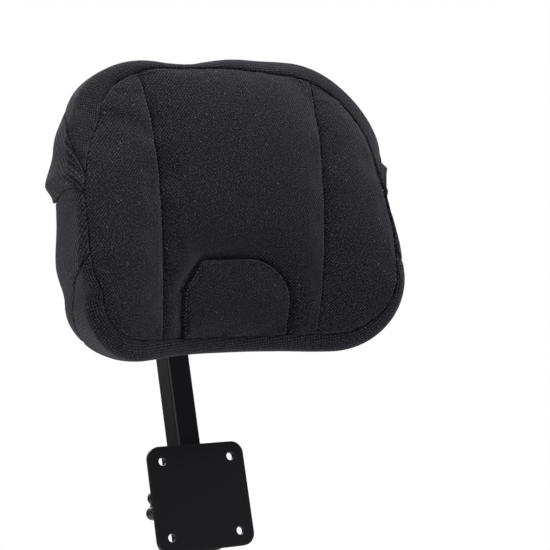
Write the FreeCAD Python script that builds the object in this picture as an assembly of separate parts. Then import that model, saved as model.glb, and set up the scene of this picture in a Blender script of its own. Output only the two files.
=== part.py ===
"""Headrest attachment for a chair: a padded, fabric-covered headrest on an adjustable stem.

Frame: millimetres, +Z up along the stem, +Y backwards, X to the side. The origin is the
middle of the receiver's four bolt holes, on the face that meets the chair's back.

Load path from the chair to the head:
  receiver (bolted to the chair) -> stem tube (slides up and down)
  -> head block on the stem's top -> depth bar (slides fore and aft)
  -> clevis hinge (tilts) -> pad plate -> backing board -> foam -> sewn cover.
"""
import FreeCAD
import Part
import math
import os

V = FreeCAD.Vector
X_AXIS, Y_AXIS, Z_AXIS = V(1, 0, 0), V(0, 1, 0), V(0, 0, 1)

# ---- receiver that bolts to the chair's back -------------------------------------------
PLATE_W, PLATE_H, PLATE_T = 84.0, 84.0, 4.0
PLATE_CORNER = 10.0
BOLT_SPACING = 60.0
BOLT_HOLE_R = 3.3
SLEEVE_H = 80.0
SLEEVE_WALL = 2.5
SLEEVE_CORNER = 4.0
GLIDE_WALL = 1.75
GLIDE_LENGTH = 26.0
GLIDE_FLANGE = 2.5
BOSS_R, BOSS_LENGTH = 9.0, 12.0
PRESSURE_PAD_T = 1.4
SLIP = 0.05                 # gap between two pieces that stay together
RUN = 0.3                   # gap on each side of a sliding piece

# ---- stem ------------------------------------------------------------------------------
STEM_X, STEM_Y = 20.0, 25.0
STEM_WALL, STEM_CORNER = 2.0, 3.0
STEM_BOTTOM, STEM_TOP = -120.0, 203.0
SLEEVE_IN_X = STEM_X + 2 * (GLIDE_WALL + RUN + SLIP)
SLEEVE_IN_Y = STEM_Y + 2 * (GLIDE_WALL + RUN + SLIP)
SLEEVE_OUT_X = SLEEVE_IN_X + 2 * SLEEVE_WALL
SLEEVE_OUT_Y = SLEEVE_IN_Y + 2 * SLEEVE_WALL
STEM_AXIS_Y = PLATE_T + SLEEVE_OUT_Y / 2

# ---- head block and depth bar ----------------------------------------------------------
BAR_X, BAR_H = 12.0, 22.0
BAR_Z = 220.0               # height of the bar's middle, and of the tilt hinge
BAR_REACH = 76.7            # from the stem's axis forward to the hinge pin
BAR_TAIL = 50.0             # from the stem's axis back to the bar's end
HEAD_X, HEAD_Y = 34.0, 42.0
HEAD_BOTTOM, HEAD_TOP = 180.0, 239.0
HEAD_SCREW_Z = 191.0
TAIL_CAP_X, TAIL_CAP_H, TAIL_CAP_T = 16.0, 26.0, 4.0

# ---- clamping screws and knobs ---------------------------------------------------------
STUD_R, THREAD_R = 4.0, 4.05
KNOB_R, KNOB_DEPTH, KNOB_LOBES = 20.0, 18.0, 7
STUD_IN_KNOB = 13.0
KNOB_GAP = 1.5

# ---- tilt hinge ------------------------------------------------------------------------
EAR_T, EAR_R = 5.0, 13.0
WASHER_T, WASHER_R = 1.4, 11.0
WASHER_GAP = 0.3
PIN_R, PIN_HOLE_R = 4.0, 4.05
EAR_IN_X = BAR_X / 2 + WASHER_GAP + WASHER_T + 0.1
EAR_OUT_X = EAR_IN_X + EAR_T
LEVER_HUB_R, LEVER_HUB_LENGTH = 9.0, 17.0
LEVER_REACH = 52.0

# ---- pad -------------------------------------------------------------------------------
PAD_TILT = 13.0             # the pad's top leans forward of the stem by this many degrees
PAD_FRONT_TO_PIN = 82.0     # from the front reference plane back to the hinge pin
PAD_FRONT_Y = -8.0          # foremost face of the cover, in the pad's own frame
PAD_BACK_Y = 60.0           # rearmost face of the cover without its hood
FRONT_ROUND, BACK_ROUND = 16.0, 20.0
COVER_T = 3.0
# corners of an outline (x, z, rounding radius), from the top middle down the left side:
# the front panel's seam, and the widest outline of the gusset round it
SEAM_CORNERS = [(0.0, 102.0, 420.0), (113.0, 96.0, 70.0), (129.0, -22.0, 300.0),
                (124.5, -101.0, 48.0), (0.0, -102.0, 900.0)]
EDGE_CORNERS = [(0.0, 110.0, 420.0), (122.0, 104.0, 78.0), (136.5, -22.0, 300.0),
                (133.0, -113.0, 56.0), (0.0, -115.0, 900.0)]
CHANNEL_X = 68.5            # the two upright seams on the front
NECK_HALF_W, NECK_TOP_Z = 45.8, -40.0
NECK_CORNER = 34.0
LAYER_Y = 12.0              # back of the front foam layer
FOAM_GAP = 0.3
BAND_Z, BAND_SLOPE = 24.0, 1.1       # top band's edge on the side: z = 24 + 1.1 y
LOW_BAND_Z, LOW_BAND_SLOPE = -38.0, 0.9
HEM_Z, OVERLAP_TOP_Z = 6.0, 38.0
HOOD_OUT, HOOD_T = 10.0, 3.0         # the hood's hem stands out from the gusset at the sides
HOOD_BACK = 5.0
BOARD_T, BOARD_IN = 9.0, 14.0
BOARD_BACK_Y = PAD_BACK_Y - COVER_T - 0.3
PAD_PLATE_W, PAD_PLATE_H, PAD_PLATE_T = 110.0, 80.0, 3.0
PAD_PLATE_CORNER = 12.0
SCREW_DX, SCREW_DZ = 42.0, 28.0
WINDOW_MARGIN = 4.0
HOOD_FRONT_Y = 8.0          # where the hood's free edge starts behind the front seam
BINDING_T, BINDING_H = 1.2, 10.0
STRIP_X, STRIP_W = 90.0, 44.0        # hook-and-loop strips under the hood's hem
STRIP_Z, STRIP_H = 11.0, 20.0
STRIP_T = 0.9

PIN_Y = STEM_AXIS_Y - BAR_REACH
REST = FreeCAD.Placement(V(0, 0, 0), FreeCAD.Rotation(X_AXIS, PAD_TILT))


# ---- small builders --------------------------------------------------------------------
def box(x0, x1, y0, y1, z0, z1):
    return Part.makeBox(x1 - x0, y1 - y0, z1 - z0, V(x0, y0, z0))


def cyl(radius, start, axis, length):
    return Part.makeCylinder(radius, length, start, axis)


def ring(outer, inner, start, axis, length):
    return cyl(outer, start, axis, length).cut(cyl(inner, start - axis, axis, length + 2))


def hexagon(across_flats, start, axis, length):
    """A hexagonal prism along Y or X."""
    radius = across_flats / math.sqrt(3)
    side = Z_AXIS
    other = axis.cross(side)
    points = [start + side * (radius * math.cos(a)) + other * (radius * math.sin(a))
              for a in [math.pi / 3 * i for i in range(7)]]
    return Part.Face(Part.makePolygon(points)).extrude(axis * length)


def upright(wx, wy, cx, cy, z0, z1, corner):
    """A vertical bar of rounded-rectangle section."""
    bar = box(cx - wx / 2, cx + wx / 2, cy - wy / 2, cy + wy / 2, z0, z1)
    edges = [e for e in bar.Edges if abs(e.tangentAt(e.FirstParameter).z) > 0.9]
    return bar.makeFillet(corner, edges)


def slab(width, height, corner, y0, y1):
    """A plate facing Y with rounded corners, centred on the Y axis."""
    plate = box(-width / 2, width / 2, y0, y1, -height / 2, height / 2)
    edges = [e for e in plate.Edges if abs(e.tangentAt(e.FirstParameter).y) > 0.9]
    return plate.makeFillet(corner, edges)


def rounded_wire(corners):
    """A closed wire in the XZ plane: straight runs joined by tangent arcs."""
    runs = []
    count = len(corners)
    for i, (x, z, radius) in enumerate(corners):
        here = V(x, 0, z)
        before = V(corners[i - 1][0], 0, corners[i - 1][1]) - here
        after = V(corners[(i + 1) % count][0], 0, corners[(i + 1) % count][1]) - here
        half = before.getAngle(after) / 2
        back = radius / math.tan(half)
        start = here + before.normalize() * back
        end = here + after.normalize() * back
        middle = (before + after).normalize()
        apex = here + middle * (radius / math.sin(half) - radius)
        runs.append((start, apex, end))
    edges = []
    for i, (start, apex, end) in enumerate(runs):
        edges.append(Part.Arc(start, apex, end).toShape())
        following = runs[(i + 1) % count][0]
        if (following - end).Length > 0.01:
            edges.append(Part.LineSegment(end, following).toShape())
    return Part.Wire(edges)


def prism(corners, offset, y0, y1):
    """The symmetric outline through the corners, grown by offset, from y0 to y1."""
    mirrored = [(-x, z, r) for x, z, r in reversed(corners[1:-1])]
    wire = rounded_wire(corners + mirrored)
    if abs(offset) > 1e-6:
        wire = wire.makeOffset2D(offset)
    face = Part.Face(wire)
    face.translate(V(0, y0, 0))
    return face.extrude(V(0, y1 - y0, 0))


def pillow(inset, back=None):
    """The pad's rounded outer form, set in from the cover's outside by inset."""
    y0, y1 = PAD_FRONT_Y + inset, PAD_BACK_Y - inset if back is None else back
    solid = prism(EDGE_CORNERS, -inset, y0, y1)
    for y, radius in ((y0, FRONT_ROUND - inset), (y1, BACK_ROUND - inset)):
        rim = [e for e in solid.Edges
               if abs(e.BoundBox.YMin - y) < 1e-3 and abs(e.BoundBox.YMax - y) < 1e-3]
        solid = solid.makeFillet(radius, rim)
    return solid


def neck_prism(grow, y0, y1):
    """The arch-shaped neck cushion's outline, open at the bottom seam."""
    half, top = NECK_HALF_W + grow, NECK_TOP_Z + grow
    base = SEAM_CORNERS[-1][1] - 20.0
    corners = [(-half, base, 1.0), (-half, top, NECK_CORNER), (half, top, NECK_CORNER), (half, base, 1.0)]
    face = Part.Face(rounded_wire(corners))
    face.translate(V(0, y0, 0))
    return face.extrude(V(0, y1 - y0, 0))


def halfspace_above(z_at_zero, slope):
    """Everything above the sloping plane z = z_at_zero + slope * y."""
    reach, far = 400.0, 300.0
    points = [V(-reach, -far, z_at_zero - slope * far), V(-reach, far, z_at_zero + slope * far),
              V(-reach, far, far * 3), V(-reach, -far, far * 3)]
    return Part.Face(Part.makePolygon(points + points[:1])).extrude(V(2 * reach, 0, 0))


def solid_of(shape):
    """The shape without its compound wrapping and construction seams."""
    return shape.removeSplitter()


# ---- receiver --------------------------------------------------------------------------
def receiver_plate():
    plate = slab(PLATE_W, PLATE_H, PLATE_CORNER, 0, PLATE_T)
    for sx in (-1, 1):
        for sz in (-1, 1):
            at = V(sx * BOLT_SPACING / 2, -1, sz * BOLT_SPACING / 2)
            plate = plate.cut(cyl(BOLT_HOLE_R, at, Y_AXIS, PLATE_T + 2))
    return plate


def receiver_sleeve():
    half = SLEEVE_H / 2
    tube = upright(SLEEVE_OUT_X, SLEEVE_OUT_Y, 0, STEM_AXIS_Y, -half, half, SLEEVE_CORNER)
    bore = upright(SLEEVE_IN_X, SLEEVE_IN_Y, 0, STEM_AXIS_Y, -half - 1, half + 1, 2.0)
    hole = cyl(THREAD_R, V(0, STEM_AXIS_Y, 0), Y_AXIS, SLEEVE_OUT_Y)
    return tube.cut(bore).cut(hole)


def receiver_boss():
    return ring(BOSS_R, THREAD_R, V(0, STEM_AXIS_Y + SLEEVE_OUT_Y / 2, 0), Y_AXIS, BOSS_LENGTH)


def glide(sign):
    """A plastic liner that is pushed into one end of the sleeve (sign 1: the top end)."""
    end = sign * SLEEVE_H / 2
    inner = end - sign * GLIDE_LENGTH
    low, high = sorted((inner, end))
    body = upright(SLEEVE_IN_X - 2 * SLIP, SLEEVE_IN_Y - 2 * SLIP, 0, STEM_AXIS_Y, low, high, 2.0)
    lip_low, lip_high = sorted((end, end + sign * GLIDE_FLANGE))
    lip = upright(SLEEVE_OUT_X - 1, SLEEVE_OUT_Y - 1, 0, STEM_AXIS_Y, lip_low, lip_high, 4.0)
    hole = upright(STEM_X + 2 * RUN, STEM_Y + 2 * RUN, 0, STEM_AXIS_Y, -SLEEVE_H, SLEEVE_H, STEM_CORNER)
    return solid_of(body.fuse(lip)).cut(hole)


def pressure_pad():
    """The brass disc between the clamping stud's tip and the stem."""
    start = V(0, STEM_AXIS_Y + STEM_Y / 2 + RUN, 0)
    return cyl(7.0, start, Y_AXIS, PRESSURE_PAD_T)


# ---- knobs -----------------------------------------------------------------------------
def star_knob(start, axis):
    """A lobed hand knob with a blind hole for its stud, opening at start."""
    side = Z_AXIS
    other = axis.cross(side)
    grip = cyl(KNOB_R - 4.5, start + axis * 4, axis, KNOB_DEPTH - 4)
    for i in range(KNOB_LOBES):
        a = 2 * math.pi * i / KNOB_LOBES
        at = start + (side * math.cos(a) + other * math.sin(a)) * (KNOB_R - 5.5) + axis * 4
        grip = grip.fuse(cyl(5.5, at, axis, KNOB_DEPTH - 4))
    grip = solid_of(grip)
    rim = [e for e in grip.Edges if e.BoundBox.DiagonalLength > 1
           and abs(e.tangentAt(e.FirstParameter).dot(axis)) < 0.5]
    grip = grip.makeFillet(1.5, rim)
    hub = cyl(9.0, start, axis, 8.0)
    return solid_of(grip.fuse(hub)).cut(cyl(STUD_R, start - axis, axis, STUD_IN_KNOB + 1))


def stud(tip, knob_face, axis):
    length = (knob_face - tip).Length + STUD_IN_KNOB
    rod = cyl(STUD_R, tip, axis, length)
    rim = [e for e in rod.Edges if e.Closed and (e.CenterOfMass - tip).Length < 1.0]
    return rod.makeChamfer(0.8, rim)


# ---- stem ------------------------------------------------------------------------------
def stem_tube():
    tube = upright(STEM_X, STEM_Y, 0, STEM_AXIS_Y, STEM_BOTTOM, STEM_TOP, STEM_CORNER)
    bore = upright(STEM_X - 2 * STEM_WALL, STEM_Y - 2 * STEM_WALL, 0, STEM_AXIS_Y,
                   STEM_BOTTOM - 1, STEM_TOP + 1, STEM_CORNER - STEM_WALL)
    hole = cyl(3.2, V(-STEM_X, STEM_AXIS_Y, HEAD_SCREW_Z), X_AXIS, 2 * STEM_X)
    return tube.cut(bore).cut(hole)


def stem_foot_cap():
    plug_x, plug_y = STEM_X - 2 * STEM_WALL - 2 * SLIP, STEM_Y - 2 * STEM_WALL - 2 * SLIP
    plug = upright(plug_x, plug_y, 0, STEM_AXIS_Y, STEM_BOTTOM, STEM_BOTTOM + 14, 1.0)
    lip = upright(STEM_X, STEM_Y, 0, STEM_AXIS_Y, STEM_BOTTOM - 3, STEM_BOTTOM, STEM_CORNER)
    rim = [e for e in lip.Edges if abs(e.BoundBox.ZMax - (STEM_BOTTOM - 3)) < 1e-3]
    return solid_of(plug.fuse(lip.makeFillet(1.5, rim)))


def head_block():
    block = upright(HEAD_X, HEAD_Y, 0, STEM_AXIS_Y, HEAD_BOTTOM, HEAD_TOP, 6.0)
    rims = [e for e in block.Edges if abs(e.BoundBox.ZMin - e.BoundBox.ZMax) < 1e-3]
    block = block.makeFillet(2.5, rims)
    boss = cyl(BOSS_R + 1, V(0, STEM_AXIS_Y, BAR_Z), X_AXIS, HEAD_X / 2 + 6)
    block = solid_of(block.fuse(boss))
    socket = upright(STEM_X + 2 * SLIP, STEM_Y + 2 * SLIP, 0, STEM_AXIS_Y,
                     HEAD_BOTTOM - 1, STEM_TOP + SLIP, STEM_CORNER)
    slot_x, slot_h = BAR_X / 2 + RUN, BAR_H / 2 + RUN
    slot = box(-slot_x, slot_x, STEM_AXIS_Y - HEAD_Y, STEM_AXIS_Y + HEAD_Y, BAR_Z - slot_h, BAR_Z + slot_h)
    thread = cyl(THREAD_R, V(0, STEM_AXIS_Y, BAR_Z), X_AXIS, HEAD_X)
    screw = cyl(3.2, V(-HEAD_X, STEM_AXIS_Y, HEAD_SCREW_Z), X_AXIS, 2 * HEAD_X)
    nut = hexagon(10.4, V(-HEAD_X / 2 - 1, STEM_AXIS_Y, HEAD_SCREW_Z), X_AXIS, 4.0)
    for tool in (socket, slot, thread, screw, nut):
        block = block.cut(tool)
    return block


def head_screw():
    """The cross screw that fixes the head block to the stem."""
    shank = cyl(3.0, V(-HEAD_X / 2 - 2.5, STEM_AXIS_Y, HEAD_SCREW_Z), X_AXIS, HEAD_X + 2.5)
    head = cyl(5.2, V(HEAD_X / 2, STEM_AXIS_Y, HEAD_SCREW_Z), X_AXIS, 3.4)
    rim = [e for e in head.Edges if e.Closed and e.CenterOfMass.x > HEAD_X / 2 + 3]
    head = head.makeFillet(1.6, rim)
    key = hexagon(4.0, V(HEAD_X / 2 + 1.4, STEM_AXIS_Y, HEAD_SCREW_Z), X_AXIS, 3.0)
    return solid_of(shank.fuse(head)).cut(key)


def head_nut():
    start = V(-HEAD_X / 2 - 1.9, STEM_AXIS_Y, HEAD_SCREW_Z)
    return hexagon(10.0, start, X_AXIS, 4.8).cut(cyl(3.05, start - X_AXIS, X_AXIS, 8))


# ---- depth bar -------------------------------------------------------------------------
def depth_bar():
    half = BAR_X / 2
    bar = box(-half, half, PIN_Y, STEM_AXIS_Y + BAR_TAIL, BAR_Z - BAR_H / 2, BAR_Z + BAR_H / 2)
    tongue = cyl(BAR_H / 2, V(-half, PIN_Y, BAR_Z), X_AXIS, BAR_X)
    bar = solid_of(bar.fuse(tongue))
    hole = cyl(PIN_HOLE_R, V(-half - 1, PIN_Y, BAR_Z), X_AXIS, BAR_X + 2)
    tap = cyl(2.5, V(0, STEM_AXIS_Y + BAR_TAIL - 14, BAR_Z), Y_AXIS, 20)
    return bar.cut(hole).cut(tap)


def tail_cap():
    """The stop plate that keeps the bar in its block."""
    y0 = STEM_AXIS_Y + BAR_TAIL
    half_x, half_h = TAIL_CAP_X / 2, TAIL_CAP_H / 2
    cap = box(-half_x, half_x, y0, y0 + TAIL_CAP_T, BAR_Z - half_h, BAR_Z + half_h)
    cap = cap.makeFillet(2.0, [e for e in cap.Edges if abs(e.tangentAt(e.FirstParameter).y) > 0.9])
    cap = cap.makeFillet(1.0, [e for e in cap.Edges if abs(e.BoundBox.YMin - y0 - TAIL_CAP_T) < 1e-3])
    return cap.cut(cyl(2.7, V(0, y0 - 1, BAR_Z), Y_AXIS, TAIL_CAP_T + 2))


def tail_screw():
    y0 = STEM_AXIS_Y + BAR_TAIL
    shank = cyl(2.45, V(0, y0 - 13, BAR_Z), Y_AXIS, 13 + TAIL_CAP_T)
    seat_y = y0 + TAIL_CAP_T
    head = cyl(4.6, V(0, seat_y, BAR_Z), Y_AXIS, 2.8)
    head = head.makeFillet(1.3, [e for e in head.Edges if e.Closed and e.CenterOfMass.y > seat_y + 2])
    key = hexagon(3.0, V(0, seat_y + 1.2, BAR_Z), Y_AXIS, 3.0)
    return solid_of(shank.fuse(head)).cut(key)


# ---- tilt hinge, in the pad's own frame --------------------------------------------------
def hinge_ears():
    ears = []
    root_y = BOARD_BACK_Y + PAD_PLATE_T
    for sign in (-1, 1):
        x0 = EAR_IN_X if sign > 0 else -EAR_OUT_X
        web = box(x0, x0 + EAR_T, root_y, PAD_FRONT_TO_PIN, -EAR_R, EAR_R)
        eye = cyl(EAR_R, V(x0, PAD_FRONT_TO_PIN, 0), X_AXIS, EAR_T)
        hole = cyl(PIN_R + SLIP, V(x0 - 1, PAD_FRONT_TO_PIN, 0), X_AXIS, EAR_T + 2)
        ears.append(solid_of(web.fuse(eye)).cut(hole))
    return Part.makeCompound(ears)


def friction_washers():
    rings = []
    for x0 in (BAR_X / 2 + WASHER_GAP, -BAR_X / 2 - WASHER_GAP - WASHER_T):
        rings.append(ring(WASHER_R, PIN_R + 0.3, V(x0, PAD_FRONT_TO_PIN, 0), X_AXIS, WASHER_T))
    return Part.makeCompound(rings)


def hinge_pin():
    """The pivot bolt: its head sits on the right ear, and the lever screws on at the left."""
    length = 2 * EAR_OUT_X + 12.0
    shank = cyl(PIN_R, V(-EAR_OUT_X - 12.0, PAD_FRONT_TO_PIN, 0), X_AXIS, length)
    head = hexagon(13.0, V(EAR_OUT_X, PAD_FRONT_TO_PIN, 0), X_AXIS, 5.3)
    return solid_of(shank.fuse(head))


def tilt_lever():
    """A clamping lever: a hub on the hinge pin and a handle that cranks outwards."""
    hub_x = -EAR_OUT_X - KNOB_GAP
    at = V(hub_x, PAD_FRONT_TO_PIN, 0)
    hub = cyl(LEVER_HUB_R, at, X_AXIS * -1, LEVER_HUB_LENGTH)
    hub_end = hub_x - LEVER_HUB_LENGTH
    hub = hub.makeFillet(2.0, [e for e in hub.Edges if e.Closed and e.CenterOfMass.x < hub_end + 1])
    start = V(hub_x - LEVER_HUB_LENGTH + 6.5, PAD_FRONT_TO_PIN, 0)
    end = start + V(-8.0, 0, LEVER_REACH)
    run = end - start
    arm = Part.makeCone(6.0, 4.6, run.Length, start, run)
    tip = Part.makeSphere(4.6, end)
    lever = solid_of(hub.fuse(arm).fuse(tip))
    return lever.cut(cyl(THREAD_R, at + X_AXIS, X_AXIS * -1, 13.0))


def pad_plate():
    plate = slab(PAD_PLATE_W, PAD_PLATE_H, PAD_PLATE_CORNER, BOARD_BACK_Y, BOARD_BACK_Y + PAD_PLATE_T)
    for x, z in screw_places():
        plate = plate.cut(cyl(3.3, V(x, BOARD_BACK_Y - 1, z), Y_AXIS, PAD_PLATE_T + 2))
    return plate


def screw_places():
    return [(sx * SCREW_DX, sz * SCREW_DZ) for sx in (-1, 1) for sz in (-1, 1)]


def plate_screws():
    screws = []
    face = BOARD_BACK_Y + PAD_PLATE_T
    for x, z in screw_places():
        shank = cyl(3.0, V(x, BOARD_BACK_Y - BOARD_T + 1, z), Y_AXIS, BOARD_T + PAD_PLATE_T - 1)
        head = cyl(5.2, V(x, face, z), Y_AXIS, 3.3)
        head = head.makeFillet(1.6, [e for e in head.Edges if e.Closed and e.CenterOfMass.y > face + 3])
        key = hexagon(4.0, V(x, face + 1.4, z), Y_AXIS, 3.0)
        screws.append(solid_of(shank.fuse(head)).cut(key))
    return Part.makeCompound(screws)


def tee_nuts():
    nuts = []
    front = BOARD_BACK_Y - BOARD_T
    for x, z in screw_places():
        barrel = cyl(4.2, V(x, front, z), Y_AXIS, BOARD_T - 1)
        flange = cyl(9.5, V(x, front - 1.3, z), Y_AXIS, 1.3)
        nuts.append(solid_of(barrel.fuse(flange)).cut(cyl(3.05, V(x, front - 5, z), Y_AXIS, 20)))
    return Part.makeCompound(nuts)


def backing_board():
    board = prism(SEAM_CORNERS, -BOARD_IN, BOARD_BACK_Y - BOARD_T, BOARD_BACK_Y)
    for x, z in screw_places():
        board = board.cut(cyl(4.25, V(x, BOARD_BACK_Y - BOARD_T - 1, z), Y_AXIS, BOARD_T + 2))
    return board


# ---- foam, in the pad's own frame --------------------------------------------------------
def foam_pieces():
    """The foam block behind and the three channels and neck cushion in front of it."""
    form = pillow(COVER_T + FOAM_GAP)
    far = 300.0
    front = form.common(box(-far, far, -far, LAYER_Y, -far, far))
    block = form.common(box(-far, far, LAYER_Y + FOAM_GAP, far, -far, far))
    pocket = prism(SEAM_CORNERS, FOAM_GAP - BOARD_IN, BOARD_BACK_Y - BOARD_T - 1.6, far)
    centre = front.common(box(-CHANNEL_X, CHANNEL_X, -far, far, -far, far))
    edge = CHANNEL_X + FOAM_GAP
    return {
        "foam_block": solid_of(block.cut(pocket)),
        "side_foam_left": front.common(box(edge, far, -far, far, -far, far)),
        "side_foam_right": front.common(box(-far, -edge, -far, far, -far, far)),
        "centre_foam": centre.cut(neck_prism(FOAM_GAP, -far, far)),
        "neck_foam": centre.common(neck_prism(0, -far, far)),
    }


# ---- cover, in the pad's own frame -------------------------------------------------------
def window():
    """The opening in the cover's back, where the pad plate meets the board."""
    return slab(PAD_PLATE_W + 2 * WINDOW_MARGIN, PAD_PLATE_H + 2 * WINDOW_MARGIN,
                PAD_PLATE_CORNER + WINDOW_MARGIN, LAYER_Y, PAD_BACK_Y + 40)


def cover_panels():
    """The sewn cover, cut along its seams into the panels that it is made of."""
    far = 300.0
    skin = pillow(0).cut(pillow(COVER_T))
    front_zone = prism(SEAM_CORNERS, 0, -far, LAYER_Y)
    front = skin.common(front_zone)
    rest = skin.cut(front_zone)
    inner = front.common(box(-CHANNEL_X, CHANNEL_X, -far, far, -far, far))
    panels = {
        "front_panel_centre": inner.cut(neck_prism(0, -far, far)),
        "neck_panel": inner.common(neck_prism(0, -far, far)),
        "front_panel_left": front.common(box(CHANNEL_X, far, -far, far, -far, far)),
        "front_panel_right": front.common(box(-far, -CHANNEL_X, -far, far, -far, far)),
    }
    above = halfspace_above(BAND_Z, BAND_SLOPE)
    above_low = halfspace_above(LOW_BAND_Z, -LOW_BAND_SLOPE)
    panels["top_band"] = rest.common(above)
    panels["bottom_band"] = rest.cut(above_low)
    wrap = rest.cut(above).common(above_low)
    hood_outside = pillow(-HOOD_OUT, PAD_BACK_Y + HOOD_BACK)
    hood_inside = pillow(HOOD_T - HOOD_OUT, PAD_BACK_Y + HOOD_BACK - HOOD_T)
    behind = box(-far, far, HOOD_FRONT_Y, far, HEM_Z, OVERLAP_TOP_Z)
    flare = hood_outside.cut(hood_inside).common(behind)
    shoulder = hood_outside.cut(pillow(0)).common(behind)
    shoulder = shoulder.common(box(-far, far, -far, far, OVERLAP_TOP_Z - HOOD_T, OVERLAP_TOP_Z))
    high = wrap.common(box(-far, far, -far, far, OVERLAP_TOP_Z - HOOD_T, far))
    hood = solid_of(flare.fuse(shoulder).fuse(high))
    panels["rear_hood"] = hood.cut(above).cut(window())
    low = box(-far, far, -far, far, -far, OVERLAP_TOP_Z - HOOD_T)
    panels["rear_flap"] = wrap.common(low).cut(window())
    tape = pillow(-HOOD_OUT - BINDING_T, PAD_BACK_Y + HOOD_BACK + BINDING_T).cut(hood_outside)
    tape = tape.common(box(-far, far, HOOD_FRONT_Y + 3, far, HEM_Z, HEM_Z + BINDING_H))
    panels["hood_binding"] = tape.cut(above).cut(window())
    return panels


def fastening_strips(thickness, y0):
    """A pair of hook or loop strips between the hood and the flap, left and right."""
    strips = []
    for sign in (-1, 1):
        x0 = sign * STRIP_X - STRIP_W / 2
        strips.append(box(x0, x0 + STRIP_W, y0, y0 + thickness, STRIP_Z, STRIP_Z + STRIP_H))
    return Part.makeCompound(strips)


# ---- assembly --------------------------------------------------------------------------
def in_place(shape):
    """Carries a piece from the pad's own frame to where it rests on the stem."""
    moved = shape.copy()
    moved.Placement = REST.multiply(moved.Placement)
    tilt = math.radians(PAD_TILT)
    back, up = PAD_FRONT_TO_PIN * math.cos(tilt), PAD_FRONT_TO_PIN * math.sin(tilt)
    moved.translate(V(0, PIN_Y - back, BAR_Z - up))
    return moved


def build():
    sleeve_back = STEM_AXIS_Y + SLEEVE_OUT_Y / 2
    height_face = V(0, sleeve_back + BOSS_LENGTH + KNOB_GAP, 0)
    height_tip = V(0, STEM_AXIS_Y + STEM_Y / 2 + 2 * RUN + PRESSURE_PAD_T, 0)
    depth_face = V(HEAD_X / 2 + 6 + KNOB_GAP, STEM_AXIS_Y, BAR_Z)
    depth_tip = V(BAR_X / 2 + 0.3, STEM_AXIS_Y, BAR_Z)
    nodes = {
        "receiver_plate": receiver_plate(),
        "receiver_sleeve": receiver_sleeve(),
        "receiver_boss": receiver_boss(),
        "upper_glide": glide(1),
        "lower_glide": glide(-1),
        "pressure_pad": pressure_pad(),
        "height_knob": star_knob(height_face, Y_AXIS),
        "height_knob_stud": stud(height_tip, height_face, Y_AXIS),
        "stem_tube": stem_tube(),
        "stem_foot_cap": stem_foot_cap(),
        "head_block": head_block(),
        "head_screw": head_screw(),
        "head_nut": head_nut(),
        "depth_knob": star_knob(depth_face, X_AXIS),
        "depth_knob_stud": stud(depth_tip, depth_face, X_AXIS),
        "depth_bar": depth_bar(),
        "tail_cap": tail_cap(),
        "tail_screw": tail_screw(),
    }
    pad = {
        "hinge_ears": hinge_ears(),
        "friction_washers": friction_washers(),
        "hinge_pin": hinge_pin(),
        "tilt_lever": tilt_lever(),
        "pad_plate": pad_plate(),
        "plate_screws": plate_screws(),
        "tee_nuts": tee_nuts(),
        "backing_board": backing_board(),
    }
    pad.update(foam_pieces())
    pad.update(cover_panels())
    pad["loop_strips"] = fastening_strips(STRIP_T, PAD_BACK_Y)
    pad["hook_strips"] = fastening_strips(STRIP_T, PAD_BACK_Y + STRIP_T + 0.1)
    nodes.update({name: in_place(shape) for name, shape in pad.items()})
    return nodes


def main():
    os.makedirs("parts", exist_ok=True)
    for name, shape in build().items():
        solids = shape.Solids
        if not solids or not all(s.isValid() and s.Volume > 0 for s in solids):
            print("BAD", name, len(solids))
        shape = solids[0] if len(solids) == 1 else Part.makeCompound(solids)
        shape.exportStep(os.path.join("parts", name + ".step"))
        print(name, len(solids), round(shape.Volume / 1000, 2), "cm3")


main()
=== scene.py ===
"""Looks of the chair headrest: sewn knit cushions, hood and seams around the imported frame.

The pad is built in its own frame in millimetres (x to its left, y backwards, z up), and
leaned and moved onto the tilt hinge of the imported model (the row) by to_row().
"""
import math

import bmesh
import bpy
import numpy as np
from mathutils import Matrix, Vector
from mathutils.bvhtree import BVHTree


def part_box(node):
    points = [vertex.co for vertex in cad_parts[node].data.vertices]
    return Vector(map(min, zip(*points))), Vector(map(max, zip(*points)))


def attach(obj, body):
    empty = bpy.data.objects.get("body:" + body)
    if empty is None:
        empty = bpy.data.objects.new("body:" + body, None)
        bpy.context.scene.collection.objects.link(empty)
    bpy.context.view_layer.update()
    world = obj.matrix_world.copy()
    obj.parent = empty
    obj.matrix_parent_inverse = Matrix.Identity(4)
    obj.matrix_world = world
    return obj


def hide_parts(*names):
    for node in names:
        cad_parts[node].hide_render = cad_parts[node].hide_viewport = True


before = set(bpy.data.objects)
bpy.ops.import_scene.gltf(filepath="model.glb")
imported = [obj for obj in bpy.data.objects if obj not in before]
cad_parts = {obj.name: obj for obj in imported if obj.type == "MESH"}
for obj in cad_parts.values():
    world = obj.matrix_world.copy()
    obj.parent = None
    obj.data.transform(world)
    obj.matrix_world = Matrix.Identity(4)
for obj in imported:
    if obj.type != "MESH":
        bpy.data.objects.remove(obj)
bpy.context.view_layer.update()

# ---- where the pad sits ------------------------------------------------------------------
MM = 0.001
LEAN = math.radians(13.0)   # how far the pad leans from upright
PIN_BACK = 82.0             # hinge pin behind the pad's reference plane
pin_low, pin_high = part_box("hinge_pin")
PIN = np.array([0.0, (pin_low.y + pin_high.y) / 2, (pin_low.z + pin_high.z) / 2])


def turned(v, angle=LEAN):
    """A direction of the pad's frame in the row frame; the other way round with -LEAN."""
    v = np.asarray(v, float)
    c, s = math.cos(angle), math.sin(angle)
    return np.stack([v[..., 0], c * v[..., 1] - s * v[..., 2], s * v[..., 1] + c * v[..., 2]], -1)


def to_row(p):
    """Points of the pad's frame, in millimetres, in the row frame, in metres."""
    return turned(np.asarray(p, float) - [0.0, PIN_BACK, 0.0]) * MM + PIN


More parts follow.
